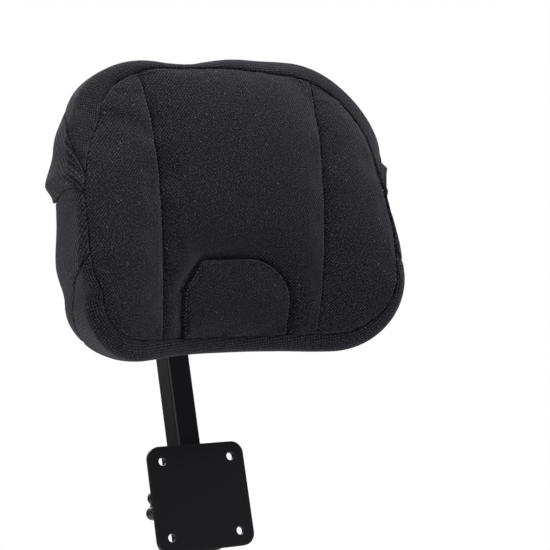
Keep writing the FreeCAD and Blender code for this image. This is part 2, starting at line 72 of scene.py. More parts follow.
# ---- lines and grids ---------------------------------------------------------------------
ARC_POINTS = 60
CHUNK = 4000                # points compared with a line at a time


def rounded(corners, closed, step=0.5):
    """A line through (x, z, radius) corners: straight runs and tangent arcs, as dense points."""
    count = len(corners)
    points = []
    for i, (x, z, radius) in enumerate(corners):
        here = np.array([x, z])
        if not closed and i in (0, count - 1):
            points.append(here[None])
            continue
        before = np.array(corners[i - 1][:2]) - here
        after = np.array(corners[(i + 1) % count][:2]) - here
        before, after = before / np.linalg.norm(before), after / np.linalg.norm(after)
        half = math.acos(np.clip(before @ after, -1, 1)) / 2
        start, end = here + before * radius / math.tan(half), here + after * radius / math.tan(half)
        centre = here + (before + after) / np.linalg.norm(before + after) * radius / math.sin(half)
        a0 = math.atan2(start[1] - centre[1], start[0] - centre[0])
        a1 = math.atan2(end[1] - centre[1], end[0] - centre[0])
        turn = (a1 - a0 + math.pi) % (2 * math.pi) - math.pi
        a = a0 + turn * np.linspace(0, 1, ARC_POINTS)
        points.append(centre + radius * np.stack([np.cos(a), np.sin(a)], -1))
    line = np.vstack(points + ([points[0][:1]] if closed else []))
    length = fractions(line)[1]
    return resampled(line, np.linspace(0, 1, int(length / step)))


def unit(v):
    """Vectors brought to length 1."""
    return v / np.linalg.norm(v, axis=-1, keepdims=True)


def travelled(grid, axis):
    """How far each point of a grid is along its row or column, from the first point."""
    return np.cumsum(np.linalg.norm(np.diff(grid, axis=axis, prepend=grid.take([0], axis)), axis=-1), axis)


def fractions(line):
    """Each point's share of the way along a line, and the line's length."""
    run = np.concatenate([[0], np.cumsum(np.linalg.norm(np.diff(line, axis=0), axis=1))])
    return run / run[-1], run[-1]


def resampled(line, at):
    """The points of a line at given shares of the way along it."""
    share = fractions(line)[0]
    return np.stack([np.interp(at, share, line[:, k]) for k in range(line.shape[1])], -1)


def crowded(count, pull=0.75):
    """Shares from 0 to 1 that lie closer together towards both ends."""
    x = np.linspace(0, 1, count)
    return x - pull * np.sin(2 * math.pi * x) / (2 * math.pi)


def coons(low, high, left, right, u, v):
    """A grid between four edge lines; low and high run with u, left and right with v."""
    low, high = resampled(low, u)[:, None], resampled(high, u)[:, None]
    left, right = resampled(left, v)[None], resampled(right, v)[None]
    u, v = u[:, None, None], v[None, :, None]
    flat = ((1 - u) * (1 - v) * low[0, 0] + u * (1 - v) * low[-1, 0]
            + (1 - u) * v * high[0, 0] + u * v * high[-1, 0])
    return (1 - v) * low + v * high + (1 - u) * left + u * right - flat


def normals(grid):
    """Unit normals of a grid of points."""
    du, dv = np.gradient(grid, axis=0), np.gradient(grid, axis=1)
    n = np.cross(du, dv)
    return n / np.maximum(np.linalg.norm(n, axis=-1, keepdims=True), 1e-9)


def distance(points, line):
    """Each point's distance to a line given as dense points, and the place on the line in mm."""
    flat = points.reshape(-1, points.shape[-1])
    far, place = np.empty(len(flat)), np.empty(len(flat))
    run = fractions(line)[0] * fractions(line)[1]
    for i in range(0, len(flat), CHUNK):
        part = flat[i:i + CHUNK]
        square = (part ** 2).sum(1)[:, None] + (line ** 2).sum(1)[None] - 2 * part @ line.T
        nearest = square.argmin(1)
        far[i:i + CHUNK] = np.linalg.norm(part - line[nearest], axis=1)
        place[i:i + CHUNK] = run[nearest]
    return far.reshape(points.shape[:-1]), place.reshape(points.shape[:-1])


def rise(d, radius):
    """A quarter round: 0 at the seam with a steep start, 1 from radius on."""
    return np.sqrt(np.clip(1 - (1 - np.minimum(d / radius, 1)) ** 2, 0, 1))


def smooth(x):
    """An eased step from 0 to 1."""
    x = np.clip(x, 0, 1)
    return x * x * (3 - 2 * x)


# ---- the pad's form ----------------------------------------------------------------------
Z_MID = 15.0                # height of the middle of the front's curvature
CURVE_X, CURVE_TWIST, CURVE_Z = -1.8e-4, 16.19e-6, 12.41e-4     # how the front's seams curve
SEAM_SINK = 1.4             # how far the seams lie under the faces beside them
TUCK, TUCK_W = 1.8, 0.8     # depth and width of the narrow fold right at a seam
# the front seam's corners: x, z and the radius that rounds them
SEAM_CORNERS = [(0, 102, 420), (-113, 96, 70), (-129, -22, 300), (-124.5, -101, 48),
                (0, -102, 900), (124.5, -101, 48), (129, -22, 300), (113, 96, 70)]
# the front seam cuts its corners on the right: how far in, at which height, over what length
CORNER_CUTS = ((6.0, 56.0, 17.0), (-1.7, 7.0, 20.0), (5.8, -67.0, 14.0))
# how far the side wall stands out from the front seam: sixteen equal angles, from +x round by the top
BULGE = np.array([3.5, 13, 13, 11, 8, 4.5, 12, 18.5, 4.5, 8, 15.5, 11.5, 10.5, 11.5, 14, 9.5])
REAR_Y = 59.0               # depth of the rear seam
REAR_IN = 10.0              # how far the rear seam lies inside the front seam
EDGE_ROLL = 8.0             # depth of the side wall's front roll
FRONT_SHARE = 0.4           # share of the side wall's width that belongs to that roll

base_outline = rounded(SEAM_CORNERS, True)[:-1]
top_middle = int(np.argmax(base_outline[:, 1] - 0.01 * np.abs(base_outline[:, 0])))
base_outline = np.roll(base_outline, -top_middle, 0)
base_outline = np.vstack([base_outline, base_outline[:1]])


def with_cuts(xz):
    """Draws the right-hand corners of the front seam in."""
    x, z = xz[..., 0], xz[..., 1]
    cut = sum(depth * np.exp(-((z - at) / length) ** 2) for depth, at, length in CORNER_CUTS)
    return np.stack([x + np.where(x < 0, cut, 0.0), z], -1)


outline = with_cuts(base_outline)
PERIMETER = fractions(outline)[1]


def seam_xz(s):
    """The front seam at share s of the way round, from its top middle towards -x."""
    return with_cuts(resampled(base_outline, np.mod(s, 1.0).ravel())).reshape(np.shape(s) + (2,))


def seam_out(s):
    """The direction in the x-z plane that leads out from the front seam."""
    d = unit(seam_xz(s + 0.002) - seam_xz(s - 0.002))
    return np.stack([d[..., 1], -d[..., 0]], -1)


def around(values, turn):
    """A smooth closed curve through equally spaced values, at turn (1 is a full round)."""
    count = len(values)
    x = np.mod(turn, 1.0) * count
    i = np.floor(x).astype(int)
    f = x - i
    a, b, c, d = (values[(i + k) % count] for k in (-1, 0, 1, 2))
    return b + 0.5 * f * (c - a + f * (2 * a - 5 * b + 4 * c - d + f * (3 * (b - c) + d - a)))


def seam_y(x, z):
    """Depth of the front's seams: the face curves away towards its top and bottom."""
    h = z - Z_MID
    return CURVE_X * x ** 2 + CURVE_TWIST * x ** 2 * h + CURVE_Z * h ** 2


def side_wall(s, t):
    """The side wall: s goes round the pad, t from the front seam (0) to the rear seam (1)."""
    s, t = np.broadcast_arrays(np.asarray(s, float), np.asarray(t, float))
    xz, out = seam_xz(s), seam_out(s)
    bulge = around(BULGE, np.arctan2(xz[..., 1], xz[..., 0]) / (2 * math.pi))
    front = seam_y(xz[..., 0], xz[..., 1])
    k = np.clip(t / FRONT_SHARE, 0, 1) * math.pi / 2
    q = np.clip((t - FRONT_SHARE) / (1 - FRONT_SHARE), 0, 1) * math.pi / 2
    off = bulge * np.sin(k) - (bulge + REAR_IN) * (1 - np.clip(1 - np.sin(q) ** 3, 0, 1) ** (1 / 3))
    y = front + EDGE_ROLL * (1 - np.cos(k)) + (REAR_Y - front - EDGE_ROLL) * np.sin(q)
    return np.stack([xz[..., 0] + out[..., 0] * off, y, xz[..., 1] + out[..., 1] * off], -1)


def eased(pairs):
    """A seam across the side wall: its place round the pad for each t, with its corners rounded off."""
    samples, reach = np.linspace(0, 1, 201), 12
    raw = np.interp(samples, *zip(*pairs))
    kernel = np.hanning(2 * reach + 1)
    padded = np.concatenate([2 * raw[0] - raw[reach:0:-1], raw, 2 * raw[-1] - raw[-2:-2 - reach:-1]])
    soft = np.convolve(padded, kernel / kernel.sum(), "valid")
    return lambda t: np.interp(t, samples, soft)


def mirrored(seam):
    """The same seam on the other side of the pad."""
    return lambda t: 1 - seam(t)


upper_seam = eased([(0, 0.218), (0.08, 0.2115), (0.21, 0.1968), (0.35, 0.1862), (0.45, 0.179),
                    (0.65, 0.155), (1, 0.122)])
hem_line = eased([(0, 0.2308), (0.3, 0.2292), (0.5, 0.2288), (0.6, 0.2325), (0.72, 0.237),
                  (0.82, 0.236), (1, 0.232)])
lower_seam = eased([(0, 0.2895), (0.3, 0.2977), (0.44, 0.303), (0.5, 0.310), (0.55, 0.3215),
                    (0.57, 0.3445), (0.62, 0.3575), (1, 0.385)])
wall_top = eased([(0, 0.2292), (0.2, 0.2240), (0.5, 0.205), (1, 0.205)])     # hidden by the hood


# ---- pieces ------------------------------------------------------------------------------
CREASE = math.radians(55)   # sharper edges than this are shaded as edges
PIECES = {}


def mesh_object(name, points, faces, material, weave=None, crease=None):
    """A smooth-shaded mesh; weave holds each point's place in the flat cloth, in mm."""
    mesh = bpy.data.meshes.new(name)
    mesh.from_pydata(points.tolist(), [], faces)
    mesh.polygons.foreach_set("use_smooth", np.ones(len(mesh.polygons), bool))
    if crease:
        mesh.set_sharp_from_angle(angle=crease)
    if weave is not None:
        attribute = mesh.attributes.new("weave", "FLOAT_VECTOR", "POINT")
        flat = np.zeros((len(points), 3), np.float32)
        flat[:, :weave.shape[-1]] = weave
        attribute.data.foreach_set("vector", flat.ravel())
    mesh.materials.append(material)
    obj = bpy.data.objects.new(name, mesh)
    bpy.context.scene.collection.objects.link(obj)
    return obj


def on_pad(obj, nodes=()):
    """Lets a piece ride on the pad, in place of the named nodes."""
    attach(obj, "pad")
    if nodes:
        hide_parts(*nodes)


def quads_of(index):
    """The faces between the rows and columns of a grid of point numbers."""
    corners = [index[:-1, :-1], index[1:, :-1], index[1:, 1:], index[:-1, 1:]]
    return np.stack(corners, -1).reshape(-1, 4)


def closed_faces(nu, nv, closed_u=False):
    """Faces of an outer grid, of an inner grid that follows it, and of the walls between."""
    index = np.arange(nu * nv).reshape(nu, nv)
    if closed_u:
        index = np.vstack([index, index[:1]])
    quads = quads_of(index)
    depth = nu * nv
    rims = [(index[:, 0], 1), (index[:, -1], -1)]
    if not closed_u:
        rims += [(index[0], -1), (index[-1], 1)]
    walls = []
    for rim, way in rims:
        a, b = rim[:-1], rim[1:]
        wall = np.stack([a, a + depth, b + depth, b], -1)
        walls.append(wall if way > 0 else wall[:, ::-1])
    return np.vstack([quads, quads[:, ::-1] + depth] + walls)


def facing_out(points, faces):
    """The faces, turned round where they enclose a negative volume."""
    a, b, c, d = (points[faces[:, k]] for k in range(4))
    volume = np.einsum("ij,ij->i", a, np.cross(b, c) + np.cross(c, d)).sum()
    return faces if volume > 0 else faces[:, ::-1]


# ---- swelling the covers as cloth --------------------------------------------------------
CLOTH_STEP = 4              # every fourth row and column of a face goes into its cloth
CLOTH_FRAMES = 20
CLOTH_SETTINGS = {"use_pressure": True, "uniform_pressure_force": 4.0, "quality": 6, "shrink_min": -0.015,
                  "bending_stiffness": 0.4}


def spread(values, rows, count):
    """Values known on some rows of a grid, carried smoothly to all of its rows."""
    at = np.interp(np.arange(count), rows, np.arange(len(rows)))
    low = np.minimum(at.astype(int), len(rows) - 2)
    part = (at - low)[:, None, None]
    full = values[low] * (1 - part) + values[low + 1] * part
    kernel = np.hanning(2 * CLOTH_STEP + 3)
    padded = np.pad(full, ((CLOTH_STEP, CLOTH_STEP), (0, 0), (0, 0)), mode="edge")
    kernel = kernel[1:-1] / kernel[1:-1].sum()
    return sum(weight * padded[k:k + count] for k, weight in enumerate(kernel))


def swollen(face, back, cap):
    """The face after its cover has swelled as pressed cloth, held at its seams, by less than cap."""
    nu, nv = face.shape[:2]
    rows, columns = (np.unique(np.append(np.arange(0, n, CLOTH_STEP), n - 1)) for n in (nu, nv))
    start = np.stack([grid[np.ix_(rows, columns)] for grid in (face, back)]).reshape(-1, 3) * MM
    faces = facing_out(start, closed_faces(len(rows), len(columns)))
    mesh = bpy.data.meshes.new("cover_cloth")
    mesh.from_pydata(start.tolist(), [], faces.tolist())
    cover = bpy.data.objects.new("cover_cloth", mesh)
    bpy.context.scene.collection.objects.link(cover)
    free = np.zeros((2, len(rows), len(columns)), bool)
    free[0, 1:-1, 1:-1] = True
    held = cover.vertex_groups.new(name="held")
    held.add(np.flatnonzero(~free.ravel()).tolist(), 1.0, "REPLACE")
    cloth = cover.modifiers.new("Cloth", "CLOTH")
    cloth.point_cache.frame_end = CLOTH_FRAMES
    cloth.settings.vertex_group_mass = "held"
    cloth.settings.effector_weights.gravity = 0.0
    for setting, value in CLOTH_SETTINGS.items():
        setattr(cloth.settings, setting, value)
    scene = bpy.context.scene
    for number in range(1, CLOTH_FRAMES + 1):
        scene.frame_set(number)
    settled = cover.evaluated_get(bpy.context.evaluated_depsgraph_get()).data
    moved = np.empty(len(start) * 3, np.float32)
    settled.vertices.foreach_get("co", moved)
    shift = (moved.reshape(-1, 3) - start)[:len(start) // 2] / MM
    far = np.linalg.norm(shift, axis=1, keepdims=True)
    shift = (shift * cap / (cap + far)).reshape(len(rows), len(columns), 3)
    bpy.data.objects.remove(cover)
    bpy.data.meshes.remove(mesh)
    scene.frame_set(1)
    shift = spread(shift, rows, nu)
    return face + spread(shift.transpose(1, 0, 2), columns, nv).transpose(1, 0, 2)


def shell(name, outer, inner, weave, material, nodes=(), closed_u=False):
    """A closed piece: an outer grid, an inner grid of the same size, and walls between."""
    points = np.vstack([outer.reshape(-1, 3), inner.reshape(-1, 3)])
    faces = facing_out(points, closed_faces(*outer.shape[:2], closed_u))
    weave = weave.reshape(-1, weave.shape[-1])
    obj = mesh_object(name, to_row(points), faces.tolist(), material, np.vstack([weave, weave]), CREASE)
    on_pad(obj, nodes)
    PIECES[name] = obj


# ---- materials ---------------------------------------------------------------------------
class Nodes:
    """Short names for building one material's node tree."""

    def __init__(self, name):
        self.material = bpy.data.materials.new(name)
        self.material.use_nodes = True
        self.tree = self.material.node_tree
        self.shader = self.tree.nodes["Principled BSDF"]

    def add(self, kind, **settings):
        node = self.tree.nodes.new("ShaderNode" + kind)
        inputs = settings.pop("inputs", {})
        for key, value in settings.items():
            setattr(node, key, value)
        for key, value in inputs.items():
            if isinstance(value, bpy.types.NodeSocket):
                self.tree.links.new(value, node.inputs[key])
            else:
                node.inputs[key].default_value = value
        return node

    def math(self, operation, a, b=0.0, c=0.0, clamp=False):
        return self.add("Math", operation=operation, use_clamp=clamp, inputs={0: a, 1: b, 2: c}).outputs[0]

    def noise(self, place, scale, detail=2.0, **inputs):
        inputs |= {"Vector": place, "Scale": scale, "Detail": detail}
        return self.add("TexNoise", inputs=inputs).outputs

    def wave(self, along, length):
        """A sine that repeats after length."""
        return self.math("SINE", self.math("MULTIPLY", along, 2 * math.pi / length))

    def ramp(self, value, stops):
        node = self.add("ValToRGB", inputs={0: value})
        ramp = node.color_ramp
        while len(ramp.elements) < len(stops):
            ramp.elements.new(0.5)
        for element, (position, colour) in zip(ramp.elements, stops):
            element.position = position
            element.color = (*colour, 1)
        return node.outputs[0]

    def mix(self, factor, a, b, blend="MIX"):
        node = self.add("Mix", data_type="RGBA", blend_type=blend)
        for key, value in ((0, factor), (6, a), (7, b)):
            if isinstance(value, bpy.types.NodeSocket):
                self.tree.links.new(value, node.inputs[key])
            elif key:
                node.inputs[key].default_value = (*value, 1)
            else:
                node.inputs[key].default_value = value
        return node.outputs[2]

    def set(self, **values):
        for key, value in values.items():
            socket = self.shader.inputs[key.replace("_", " ")]
            if isinstance(value, bpy.types.NodeSocket):
                self.tree.links.new(value, socket)
            else:
                socket.default_value = value

    def bump(self, height, strength, distance):
        node = self.add("Bump", inputs={"Height": height, "Strength": strength, "Distance": distance})
        self.tree.links.new(node.outputs[0], self.shader.inputs["Normal"])


KNIT_DARK, KNIT_LIGHT = (0.0012, 0.0011, 0.0016), (0.088, 0.085, 0.103)
FLECK_SHARE = 0.035         # share of the lint cells that hold a fleck


def knit(name, angle, light=KNIT_LIGHT, pitch=1.7, cell=1.6, sheen=0.2, coarse=1.0):
    """A fine ribbed knit: ribs at an angle, stitches along them, lint and a soft sheen."""
    m = Nodes(name)
    place = m.add("Attribute", attribute_name="weave").outputs["Vector"]
    wobble = m.noise(place, 0.35)["Color"]
    shift = m.add("VectorMath", operation="MULTIPLY_ADD",
                  inputs={0: wobble, 1: (0.8, 0.8, 0.0), 2: place}).outputs[0]
    turned_place = m.add("VectorRotate", rotation_type="Z_AXIS",
                         inputs={"Vector": shift, "Angle": math.radians(angle)}).outputs[0]
    axes = m.add("SeparateXYZ", inputs={0: turned_place}).outputs
    rib = m.wave(axes[0], pitch)
    lean = m.math("MULTIPLY_ADD", m.math("ABSOLUTE", rib), 0.9, 0.5)
    stitch = m.math("SINE", m.math("ADD", m.math("MULTIPLY", axes[1], 2 * math.pi / cell), lean))
    grain = m.noise(place, 0.8 / coarse, Roughness=0.7)["Fac"]
    height = m.math("ADD", m.math("MULTIPLY", rib, 0.2), m.math("MULTIPLY", stitch, 0.13))
    height = m.math("ADD", height, m.math("MULTIPLY_ADD", grain, 2.4, -0.65))
    tone = m.ramp(height, [(0.25, KNIT_DARK), (0.8, tuple(0.45 * c for c in light)), (1.0, light)])
    patches = m.noise(place, 0.035, 3.0)["Fac"]
    tone = m.mix(0.35, tone, m.ramp(patches, [(0.3, (0.62,) * 3), (0.7, (1.0,) * 3)]), "MULTIPLY")
    lint = m.add("TexVoronoi", inputs={"Vector": place, "Scale": 0.42, "Randomness": 1.0}).outputs
    pick = m.add("SeparateColor", inputs={0: lint["Color"]}).outputs[0]
    reach = m.math("MULTIPLY_ADD", grain, 0.42, 0.02)
    near = m.math("MULTIPLY", m.math("SUBTRACT", reach, lint["Distance"]), 14.0, clamp=True)
    fleck = m.math("MULTIPLY", m.math("GREATER_THAN", pick, 1.0 - FLECK_SHARE), near)
    tone = m.mix(m.math("MULTIPLY", fleck, 0.75), tone, tuple(2.6 * c for c in light))
    m.set(Base_Color=tone, Roughness=m.math("MULTIPLY_ADD", grain, 0.2, 0.72), Specular_IOR_Level=0.12,
          Sheen_Weight=sheen, Sheen_Roughness=0.45, Sheen_Tint=(0.93, 0.9, 1.0, 1.0))
    m.bump(height, 0.8, 0.0005)
    return m.material


def hard(name, colour, rough, metallic=0.0, scale=900.0, bump=0.15, stretch=(1, 1, 1), vary=0.25,
         edge_wear_and_highlight=None, specular=0.5):
    """A hard finish: fine grain, soft marks in the gloss, and lighter edges that are part wear, part painted
    highlight.
    """
    m = Nodes(name)
    place = m.add("TexCoord").outputs["Object"]
    long_place = m.add("Mapping", inputs={"Vector": place, "Scale": stretch}).outputs[0]
    grain = m.noise(long_place, scale, 4.0)["Fac"]
    marks = m.noise(place, 38.0, 6.0, Roughness=0.65)["Fac"]
    low, high = (tuple(min(c * share, 1.0) for c in colour) for share in (1 - vary, 1 + vary))
    tone = m.ramp(m.math("MULTIPLY_ADD", grain, 0.5, 0.25), [(0.1, low), (0.9, high)])
    # edges lightened in the colour: part wear, part a painted highlight along the corners
    if edge_wear_and_highlight:
        softened = m.add("Bevel", samples=4, inputs={"Radius": 0.0009}).outputs[0]
        facing = m.add("VectorMath", operation="DOT_PRODUCT",
                       inputs={0: softened, 1: m.add("NewGeometry").outputs["Normal"]}).outputs["Value"]
        edge = m.math("MULTIPLY", m.math("SUBTRACT", 0.985, facing), 12.0, clamp=True)
        tone = m.mix(m.math("MULTIPLY", edge, marks), tone, edge_wear_and_highlight)
    m.set(Base_Color=tone, Roughness=m.math("MULTIPLY_ADD", marks, 0.1, rough - 0.05), Metallic=metallic,
          Specular_IOR_Level=specular)
    m.bump(grain, bump, 0.0002)
    return m.material


def plywood_material():
    """Birch plywood: thin plies one behind the other, with a long grain."""
    m = Nodes("plywood_birch")
    place = m.add("TexCoord").outputs["Object"]
    axes = m.add("SeparateXYZ", inputs={0: place}).outputs
    ply = m.wave(axes[1], 0.0030)
    fine = m.add("Mapping", inputs={"Vector": place, "Scale": (1, 18, 9)}).outputs[0]
    grain = m.noise(fine, 60.0, 8.0)["Fac"]
    tone = m.ramp(m.math("ADD", m.math("MULTIPLY", ply, 0.12), grain),
                  [(0.3, (0.30, 0.19, 0.10)), (0.7, (0.62, 0.45, 0.27))])
    m.set(Base_Color=tone, Roughness=0.62)
    m.bump(grain, 0.25, 0.0003)
    return m.material


def tape_material():
    """Woven binding tape: cross ribs and a herringbone middle."""
    m = Nodes("binding_woven")
    place = m.add("Attribute", attribute_name="weave").outputs["Vector"]
    axes = m.add("SeparateXYZ", inputs={0: place}).outputs
    weave = m.math("MULTIPLY", m.wave(axes[0], 0.9), m.wave(axes[1], 1.3))
    fuzz = m.noise(place, 1.4, 3.0)["Fac"]
    height = m.math("ADD", m.math("MULTIPLY", weave, 0.25), fuzz)
    tone = m.ramp(height, [(0.2, (0.006, 0.006, 0.007)), (0.9, (0.026, 0.025, 0.028))])
    m.set(Base_Color=tone, Roughness=0.7, Sheen_Weight=0.15, Specular_IOR_Level=0.3)
    m.bump(height, 0.6, 0.0004)
    return m.material


def pile_material():
    """Hook and loop tape: a short crinkled pile."""
    m = Nodes("hook_loop_pile")
    place = m.add("Attribute", attribute_name="weave").outputs["Vector"]
    pile = m.add("TexVoronoi", inputs={"Vector": place, "Scale": 1.1}).outputs["Distance"]
    height = m.math("ADD", pile, m.math("MULTIPLY", m.noise(place, 2.5, 4.0)["Fac"], 0.6))
    tone = m.ramp(height, [(0.2, (0.005, 0.005, 0.006)), (1.0, (0.03, 0.03, 0.033))])
    m.set(Base_Color=tone, Roughness=0.85, Sheen_Weight=0.3)
    m.bump(height, 0.8, 0.0006)
    return m.material


def thread_material():
    """Polyester sewing thread with a fine twist."""
    m = Nodes("stitch_thread")
    twist = m.noise(m.add("TexCoord").outputs["Object"], 1600.0)["Fac"]
    tone = m.ramp(twist, [(0.3, (0.03, 0.029, 0.033)), (0.7, (0.10, 0.097, 0.11))])
    m.set(Base_Color=tone, Roughness=0.55, Sheen_Weight=0.2)
    m.bump(twist, 0.5, 0.0002)
    return m.material


FRONT_KNIT = knit("knit_front", 38, light=(0.085, 0.082, 0.100))
WALL_KNIT = knit("knit_side", 52, pitch=2.7, cell=2.4, sheen=0.24, coarse=1.5)
BAND_KNIT = knit("knit_band", 96, pitch=2.1, cell=2.0, sheen=0.24)
REAR_KNIT = knit("knit_rear", 38, light=(0.08, 0.077, 0.096))
TAPE = tape_material()
PILE = pile_material()
THREAD = thread_material()

# ---- front cushions ----------------------------------------------------------------------
def channel_x(z, side):
    """How far an upright seam is from the middle of the front."""
    h = (z - Z_MID) / 100
    if side < 0:
        return 67.6 + 3.2 * h + 4.2 * h ** 2 + 3.0 * h ** 3
    return 71.1 + 1.9 * h - 2.0 * h ** 2


def crossing(side, upper):
    """The share round the front seam where an upright seam ends."""
    s = np.linspace(0, 0.25, 4001) if upper else np.linspace(0.3, 0.5, 4001)
    xz = seam_xz(s)
    at = s[np.argmin(np.abs(np.abs(xz[:, 0]) - channel_x(xz[:, 1], side)))]
    return at if side < 0 else 1 - at


TOP_ENDS = {side: crossing(side, True) for side in (-1, 1)}
LOW_ENDS = {side: crossing(side, False) for side in (-1, 1)}


def outline_part(a, b):
    """The front seam from share a to share b of the way round."""
    return seam_xz(np.linspace(a, b, 600))


def channel(side):
    """An upright seam from its bottom end to its top end, in x and z."""
    low, high = seam_xz(np.array([LOW_ENDS[side], TOP_ENDS[side]]))[:, 1]
    z = np.linspace(low, high, 500)
    line = np.stack([side * channel_x(z, side), z], -1)
    line[[0, -1]] = seam_xz(np.array([LOW_ENDS[side], TOP_ENDS[side]]))
    return line


def foot(x, side):
    """The share round the front seam where its bottom run passes x."""
    s = np.linspace(0.35, 0.5, 4001) if side < 0 else np.linspace(0.5, 0.65, 4001)
    return s[np.argmin(np.abs(seam_xz(s)[:, 0] - x))]


FOOT_RIGHT, FOOT_LEFT = foot(-46.0, -1), foot(42.8, 1)
feet = seam_xz(np.array([FOOT_RIGHT, FOOT_LEFT]))
arch_line = rounded([(*feet[0], 0), (-48.0, -67.0, 11), (-34.5, -43.6, 9), (41.2, -43.0, 36),
                     (*feet[1], 0)], False, 0.25)


def gather(place, seed, size):
    """Slight puckers along a seam."""
    rng = np.random.default_rng(seed)
    wave = sum(np.sin(2 * math.pi * place / length + rng.uniform(0, 6.28)) / k
               for k, length in enumerate((41.0, 23.0, 11.3, 6.1), 1))
    return size * wave


def cushion_face(grid, seams, crown, seed):
    """Lifts a front panel's grid in x and z into a crowned face between its seams."""
    x, z = grid[..., 0], grid[..., 1]
    full = np.ones(x.shape)
    ripple = np.zeros(x.shape)
    tuck = np.zeros(x.shape)
    for line, share, radius, reach, fold, pit, pit_width in seams:
        d, place = distance(grid, line)
        tuck = np.maximum(tuck, fold * np.exp(-(d / TUCK_W) ** 2) + pit * np.exp(-(d / pit_width) ** 2))
        full = full * (share * rise(d, radius) + (1 - share) * (1 - np.exp(-d / reach)))
        ripple += gather(place, seed, 0.22) * np.exp(-d / 7.0) * rise(d, 3.0)
    y = seam_y(x, z) + SEAM_SINK + tuck - (crown + SEAM_SINK) * full - ripple
    return np.stack([x, y, z], -1)


def cushion_back(grid, depth, inset):
    """The flat underside of a front cushion, drawn in a little from its seams."""
    centre = grid.reshape(-1, 2).mean(0)
    size = np.abs(grid.reshape(-1, 2) - centre).max(0)
    x, z = np.moveaxis(centre + (grid - centre) * (1 - inset / size), -1, 0)
    return np.stack([x, seam_y(x, z) + depth, z], -1)


# a seam's share of steep roll, the roll's radius, the reach of the soft swell beyond it, its fold,
# and the depth and width of the valley that it lies in
CHANNEL_SEAM = (0.40, 6.0, 18.0, 0.7, 0.0, 1.0)
RIM_SEAM = (0.30, 6.0, 22.0, TUCK, 0.0, 1.0)
ARCH_OUT = (0.12, 4.0, 6.5, 0.8, 3.4, 6.5)
ARCH_IN = (0.55, 3.6, 14.0, 0.8, 3.4, 1.6)
FRONT_SWELL, WALL_SWELL = 3.0, 1.5      # the most that a cover may move as cloth


def cushion(name, grid, seams, nodes, crown, seed, depth, inset):
    """One front cushion over its grid in x and z."""
    face, back = cushion_face(grid, seams, crown, seed), cushion_back(grid, depth, inset)
    shell(name, swollen(face, back, FRONT_SWELL), back, grid, FRONT_KNIT, nodes)


def side_cushion(side, name, nodes):
    """The cushion between an upright seam and the front seam on one side."""
    upright = channel(side)
    low, top = LOW_ENDS[side], TOP_ENDS[side]
    bend_top, bend_low = (0.128, 0.372) if side < 0 else (0.872, 0.628)
    grid = coons(outline_part(low, bend_low), outline_part(top, bend_top), upright,
                 outline_part(bend_low, bend_top), crowded(95), crowded(190))
    cushion(name, grid, [(upright, *CHANNEL_SEAM), (outline, *RIM_SEAM)], nodes, crown=7.0,
            seed=11 + side, depth=13.0, inset=2.5)


def centre_cushion():
    """The cushion between the upright seams, round the neck cushion's arch."""
    left, right = channel(-1), channel(1)
    over = outline_part(TOP_ENDS[-1], TOP_ENDS[1] - 1)
    outside = np.vstack([left, over[1:], right[::-1][1:]])
    grid = coons(arch_line, outside, outline_part(FOOT_RIGHT, LOW_ENDS[-1]),
                 outline_part(FOOT_LEFT, LOW_ENDS[1]), np.linspace(0, 1, 380), crowded(110))
    seams = [(left, *CHANNEL_SEAM), (right, *CHANNEL_SEAM), (outline, *RIM_SEAM), (arch_line, *ARCH_OUT)]
    cushion("centre_cushion", grid, seams, ("front_panel_centre", "centre_foam"), crown=6.5,
            seed=5, depth=13.0, inset=1.0)


def neck_cushion():
    """The raised cushion inside the arch."""
    up = int(len(arch_line) * 0.36)
    left, top, right = arch_line[:up + 1], arch_line[up:-up], arch_line[-up - 1:][::-1]
    grid = coons(outline_part(FOOT_RIGHT, FOOT_LEFT), top, left, right, crowded(120), crowded(100))
    cushion("neck_cushion", grid, [(arch_line, *ARCH_IN), (outline, *RIM_SEAM)],
            ("neck_panel", "neck_foam"), crown=6.0, seed=7, depth=12.0, inset=1.5)


side_cushion(-1, "side_cushion_right", ("front_panel_right", "side_foam_right"))
side_cushion(1, "side_cushion_left", ("front_panel_left", "side_foam_left"))
centre_cushion()
neck_cushion()

# ---- side wall ---------------------------------------------------------------------------
WALL_T = 2.6                # thickness of the wall's cover
SEAM_ROLL = 3.5             # radius with which a face rolls down into a seam
HOOD_PRESS = 3.6            # how far the hood presses the wall in
PAD_CORE = np.array([0.0, 28.0, -5.0])      # a point well inside the pad


def outward(grid, n):
    """The grid's normals, turned to point away from the pad's middle."""
    return n * np.sign(((grid - PAD_CORE) * n).sum())


def sunk(grid, lines, depth=SEAM_SINK, seed=3):
    """The grid with its surface rolled down into the seams along the given lines."""
    n = normals(grid)
    drop = np.zeros(grid.shape[:2])
    ripple = np.zeros(grid.shape[:2])
    for line in lines:
        d, place = distance(grid, line)
        fold = TUCK / SEAM_SINK * np.exp(-(d / TUCK_W) ** 2)
        drop = np.maximum(drop, 1 - rise(d, SEAM_ROLL) + fold)
        ripple += gather(place, seed, 0.2) * np.exp(-d / 7.0) * rise(d, 3.0)
    return grid + outward(grid, n) * (ripple - depth * drop)[..., None]


